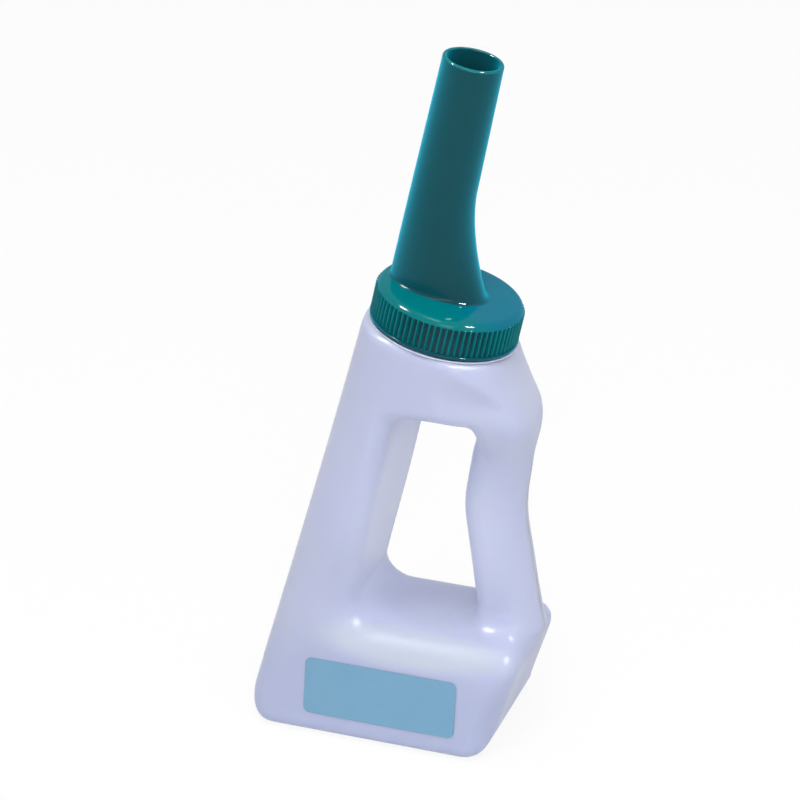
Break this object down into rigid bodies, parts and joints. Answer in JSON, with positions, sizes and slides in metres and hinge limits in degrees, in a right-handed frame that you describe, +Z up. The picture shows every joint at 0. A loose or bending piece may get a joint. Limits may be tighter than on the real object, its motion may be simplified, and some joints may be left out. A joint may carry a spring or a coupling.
{
  "type": "livestock drencher",
  "caption": "Hand-held drenching bottle with an open side grip, a leaning screw neck and a screw cap that carries a long off-centre pouring spout.",
  "frame": {"origin": "centre of the base on the floor plane", "axes": "+Z up, +X toward the grip, -Y the front with the label; the neck leans 11.4 degrees from +Z toward +X"},
  "size_m": [0.1399, 0.0882, 0.3438],
  "materials": {
    "bottle": "translucent natural polyethylene",
    "cap": "glossy moulded",
    "seal": "soft pale elastomer",
    "label": "plain film"
  },
  "bodies": {
    "bottle_body": {"bottle": "bottle", "label": "label"},
    "seal_body": {"sealing_ring": "seal"},
    "cap_body": {"spout_cap": "cap"}
  },
  "joints": [
    {"name": "cap_lift", "type": "slide", "parent": "bottle_body", "child": "seal_body", "axis": [0.1977, 0, 0.9803], "range_m": [0, 0.01681]},
    {"name": "cap_turn", "type": "hinge", "parent": "seal_body", "child": "cap_body", "pos_m": [0.0268, 0, 0.209], "axis": [0.1977, 0, 0.9803], "range_deg": [0, 1440]}
  ],
  "couplings": [
    {"joint": "cap_lift", "follows": "cap_turn", "m_per_rad": 0.00066845}
  ]
}
